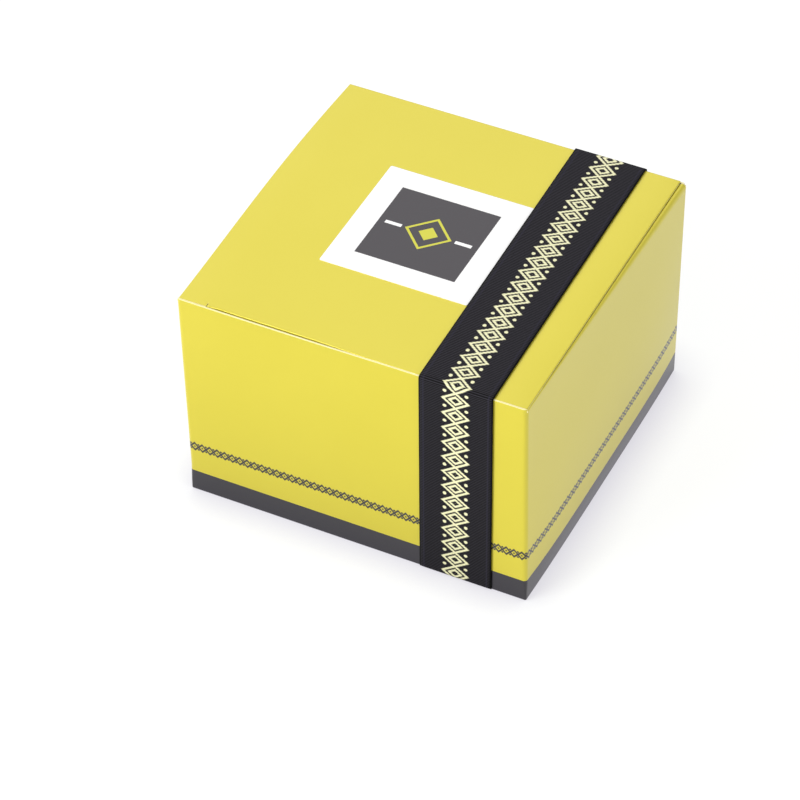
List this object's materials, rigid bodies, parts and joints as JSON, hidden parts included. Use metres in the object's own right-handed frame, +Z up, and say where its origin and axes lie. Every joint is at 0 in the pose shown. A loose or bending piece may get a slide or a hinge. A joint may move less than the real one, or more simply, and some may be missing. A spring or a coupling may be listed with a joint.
{
  "type": "chocolate box",
  "caption": "Square tuck-top folding carton for wrapped chocolates, with a hinged lid, tuck and dust flaps, a snap-lock base, a sliding ribbon round it and a label on the lid.",
  "frame": {"origin": "on the table, under the middle of the carton (bottom centre of the bounding box)", "axes": "+Z up; +X to the right along the front wall, seen from in front; the front wall faces -Y and the lid is creased to the back wall at +Y"},
  "size_m": [0.12, 0.1214, 0.0829],
  "materials": {
    "pearl_board": "satin",
    "inside_board": "matte",
    "label_paper": "matte",
    "ribbon": "matte",
    "peach_foil": "satin",
    "pale_gold_foil": "satin",
    "yellow_foil": "satin",
    "bronze_foil": "satin"
  },
  "bodies": {
    "carton": {"base_flap_back": "pearl_board", "base_flap_front": "pearl_board", "base_flap_left": "pearl_board", "base_flap_right": "pearl_board", "base_pad": "inside_board", "bronze_bar_1": "bronze_foil", "bronze_bar_2": "bronze_foil", "bronze_bar_3": "bronze_foil", "bronze_bar_4": "bronze_foil", "bronze_bar_5": "bronze_foil", "bronze_bar_6": "bronze_foil", "bronze_cube_1": "bronze_foil", "bronze_cube_2": "bronze_foil", "bronze_cube_3": "bronze_foil", "carton_sleeve": "pearl_board", "layer_pad_1": "inside_board", "layer_pad_2": "inside_board", "pale_gold_square_1": "pale_gold_foil", "pale_gold_square_2": "pale_gold_foil", "pale_gold_square_3": "pale_gold_foil", "pale_gold_square_4": "pale_gold_foil", "pale_gold_square_5": "pale_gold_foil", "pale_gold_square_6": "pale_gold_foil", "peach_square_1": "peach_foil", "peach_square_2": "peach_foil", "peach_square_3": "peach_foil", "peach_square_4": "peach_foil", "peach_square_5": "peach_foil", "peach_square_6": "peach_foil", "yellow_bar_1": "yellow_foil", "yellow_bar_2": "yellow_foil", "yellow_bar_3": "yellow_foil", "yellow_bar_4": "yellow_foil", "yellow_bar_5": "yellow_foil", "yellow_bar_6": "yellow_foil"},
    "dust_flap_left": {"dust_flap_left": "pearl_board"},
    "dust_flap_right": {"dust_flap_right": "pearl_board"},
    "lid": {"label": "label_paper", "lid_panel": "pearl_board"},
    "ribbon_band": {"ribbon_band": "ribbon"},
    "ribbon_top": {"ribbon_top": "ribbon"},
    "tuck_flap": {"tuck_flap": "pearl_board"}
  },
  "joints": [
    {"name": "lid_hinge", "type": "hinge", "parent": "carton", "child": "lid", "pos_m": [0, 0.06, 0.0822], "axis": [-1, 0, 0], "range_deg": [0, 180]},
    {"name": "tuck_flap_fold", "type": "hinge", "parent": "lid", "child": "tuck_flap", "pos_m": [0, -0.0586, 0.0817], "axis": [1, 0, 0], "range_deg": [0, 60]},
    {"name": "dust_flap_left_fold", "type": "hinge", "parent": "carton", "child": "dust_flap_left", "pos_m": [-0.059, 0, 0.0814], "axis": [0, -1, 0], "range_deg": [0, 90]},
    {"name": "dust_flap_right_fold", "type": "hinge", "parent": "carton", "child": "dust_flap_right", "pos_m": [0.059, 0, 0.0814], "axis": [0, 1, 0], "range_deg": [0, 90]},
    {"name": "ribbon_slide", "type": "slide", "parent": "carton", "child": "ribbon_band", "axis": [1, 0, 0], "range_m": [-0.082, 0.011]},
    {"name": "ribbon_top_fold", "type": "hinge", "parent": "ribbon_band", "child": "ribbon_top", "pos_m": [0, 0.06, 0.0822], "axis": [-1, 0, 0], "range_deg": [0, 180]}
  ],
  "couplings": [
    {"joint": "dust_flap_left_fold", "follows": "lid_hinge", "ratio": 0.5},
    {"joint": "dust_flap_right_fold", "follows": "lid_hinge", "ratio": 0.5},
    {"joint": "ribbon_top_fold", "follows": "lid_hinge", "ratio": 1}
  ]
}
